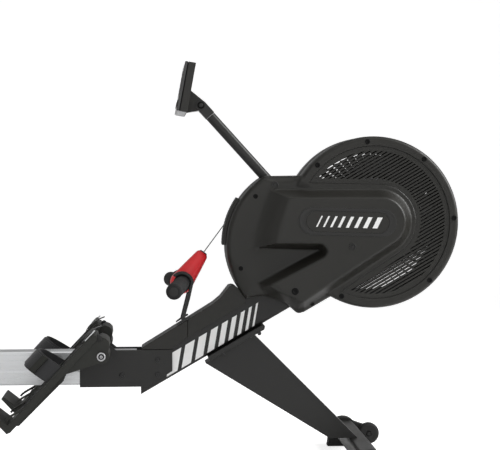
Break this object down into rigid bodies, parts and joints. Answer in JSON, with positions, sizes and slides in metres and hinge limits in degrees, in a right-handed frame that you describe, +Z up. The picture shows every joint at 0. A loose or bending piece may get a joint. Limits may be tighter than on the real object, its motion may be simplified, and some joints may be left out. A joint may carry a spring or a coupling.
{
  "type": "rowing machine",
  "caption": "Air rowing machine with a sliding seat on an aluminium rail, tilting footplates, a strap-driven caged fan, a red-cored handle and a tilting console.",
  "frame": {"origin": "on the floor under the middle of the whole machine", "axes": "+Z up, +X from the seat towards the fan, +Y to the left of a person on the seat"},
  "size_m": [2.2099, 0.51, 0.9691],
  "materials": {
    "painted_frame": "satin black powder coat",
    "rail_alloy": "satin anodised",
    "case_plastic": "fine moulded texture, satin",
    "pedal_plastic": "moulded texture",
    "console_gloss": "gloss black",
    "display": "gloss window over a dark display",
    "red_plastic": "semi-gloss red",
    "rubber": "matt",
    "grip_foam": "matt fine-celled foam",
    "webbing": "woven nylon",
    "zinc_steel": "zinc plated",
    "flywheel_iron": "machined",
    "seat_vinyl": "fine-grained vinyl"
  },
  "bodies": {
    "root": {"main_beam": "painted_frame", "rail": "rail_alloy", "rail_end_cap": "case_plastic", "rail_receiver": "painted_frame", "rear_leg": "painted_frame", "rear_stabilizer": "painted_frame", "rear_foot_left": "rubber", "rear_foot_right": "rubber", "leg_flange": "painted_frame", "front_leg": "painted_frame", "front_stabilizer": "painted_frame", "front_foot_left": "rubber", "front_foot_right": "rubber", "cover_left": "case_plastic", "cover_right": "case_plastic", "grille_left": "case_plastic", "grille_right": "case_plastic", "strap_bezel": "case_plastic", "side_plate_left": "painted_frame", "side_plate_right": "painted_frame", "fan_axle": "zinc_steel", "spool_axle": "zinc_steel", "drive_belt": "rubber", "mast": "painted_frame", "mast_fork": "painted_frame", "mast_bolt": "zinc_steel", "console_bolt": "zinc_steel", "shroud_front": "case_plastic", "shroud_rear": "case_plastic", "hook_left": "painted_frame", "hook_right": "painted_frame", "pedal_axle": "zinc_steel"},
    "fan": {"fan_wheel": "case_plastic", "flywheel": "flywheel_iron"},
    "belt_pulley": {"fan_pulley": "zinc_steel"},
    "spool": {"strap_spool": "case_plastic", "drive_pulley": "zinc_steel"},
    "handle": {"handle_bar": "zinc_steel", "grip_left": "grip_foam", "grip_right": "grip_foam", "handle_core": "red_plastic", "pull_strap": "webbing"},
    "console": {"console_shell": "case_plastic", "console_bezel": "console_gloss", "console_screen": "display"},
    "key_left": {"button_left": "rubber"},
    "key_right": {"button_right": "rubber"},
    "seat": {"seat_carriage": "painted_frame", "seat_pan": "case_plastic", "seat_cushion": "seat_vinyl"},
    "foot_left": {"pedal_left": "pedal_plastic", "foot_strap_left": "webbing"},
    "foot_right": {"pedal_right": "pedal_plastic", "foot_strap_right": "webbing"},
    "wheel_left": {"transport_wheel_left": "rubber"},
    "wheel_right": {"transport_wheel_right": "rubber"},
    "roller_front_left": {"seat_roller_front_left": "rubber"},
    "roller_front_right": {"seat_roller_front_right": "rubber"},
    "roller_rear_left": {"seat_roller_rear_left": "rubber"},
    "roller_rear_right": {"seat_roller_rear_right": "rubber"}
  },
  "joints": [
    {"name": "seat_slide", "type": "slide", "parent": "root", "child": "seat", "axis": [1, 0, 0], "range_m": [-0.45, 0.27]},
    {"name": "handle_pull", "type": "slide", "parent": "root", "child": "handle", "axis": [-0.6018, 0, -0.7986], "range_m": [0, 0.1], "stiffness_N_per_m": 60, "springref_m": -0.5},
    {"name": "spool_spin", "type": "hinge", "parent": "root", "child": "spool", "pos_m": [0.665, 0, 0.548], "axis": [0, 1, 0], "range_deg": [-195, 0]},
    {"name": "belt_pulley_spin", "type": "hinge", "parent": "root", "child": "belt_pulley", "pos_m": [0.9, 0, 0.591], "axis": [0, 1, 0], "continuous": true},
    {"name": "fan_spin", "type": "hinge", "parent": "root", "child": "fan", "pos_m": [0.9, 0, 0.591], "axis": [0, 1, 0], "continuous": true},
    {"name": "console_tilt", "type": "hinge", "parent": "root", "child": "console", "pos_m": [0.49, 0, 0.871], "axis": [0, 1, 0], "range_deg": [-15, 25]},
    {"name": "foot_left_tilt", "type": "hinge", "parent": "root", "child": "foot_left", "pos_m": [0.256, 0.129, 0.29], "axis": [0, 1, 0], "range_deg": [0, 14]},
    {"name": "foot_right_tilt", "type": "hinge", "parent": "root", "child": "foot_right", "pos_m": [0.256, -0.129, 0.29], "axis": [0, 1, 0], "range_deg": [0, 14]},
    {"name": "wheel_left_spin", "type": "hinge", "parent": "root", "child": "wheel_left", "pos_m": [0.932, 0.212, 0.036], "axis": [0, 1, 0], "continuous": true},
    {"name": "wheel_right_spin", "type": "hinge", "parent": "root", "child": "wheel_right", "pos_m": [0.932, -0.212, 0.036], "axis": [0, 1, 0], "continuous": true},
    {"name": "key_left_press", "type": "slide", "parent": "console", "child": "key_left", "axis": [0.9837, 0, -0.1797], "range_m": [0, 0.0015], "stiffness_N_per_m": 400},
    {"name": "key_right_press", "type": "slide", "parent": "console", "child": "key_right", "axis": [0.9837, 0, -0.1797], "range_m": [0, 0.0015], "stiffness_N_per_m": 400},
    {"name": "roller_front_left_spin", "type": "hinge", "parent": "seat", "child": "roller_front_left", "pos_m": [-0.37, 0.019, 0.3034], "axis": [0, 1, 0], "continuous": true},
    {"name": "roller_front_right_spin", "type": "hinge", "parent": "seat", "child": "roller_front_right", "pos_m": [-0.37, -0.019, 0.3034], "axis": [0, 1, 0], "continuous": true},
    {"name": "roller_rear_left_spin", "type": "hinge", "parent": "seat", "child": "roller_rear_left", "pos_m": [-0.53, 0.019, 0.3034], "axis": [0, 1, 0], "continuous": true},
    {"name": "roller_rear_right_spin", "type": "hinge", "parent": "seat", "child": "roller_rear_right", "pos_m": [-0.53, -0.019, 0.3034], "axis": [0, 1, 0], "continuous": true}
  ],
  "couplings": [
    {"joint": "spool_spin", "follows": "handle_pull", "rad_per_m": -33.333},
    {"joint": "belt_pulley_spin", "follows": "handle_pull", "rad_per_m": -101.85},
    {"joint": "roller_front_left_spin", "follows": "seat_slide", "rad_per_m": 50},
    {"joint": "roller_front_right_spin", "follows": "seat_slide", "rad_per_m": 50},
    {"joint": "roller_rear_left_spin", "follows": "seat_slide", "rad_per_m": 50},
    {"joint": "roller_rear_right_spin", "follows": "seat_slide", "rad_per_m": 50}
  ]
}
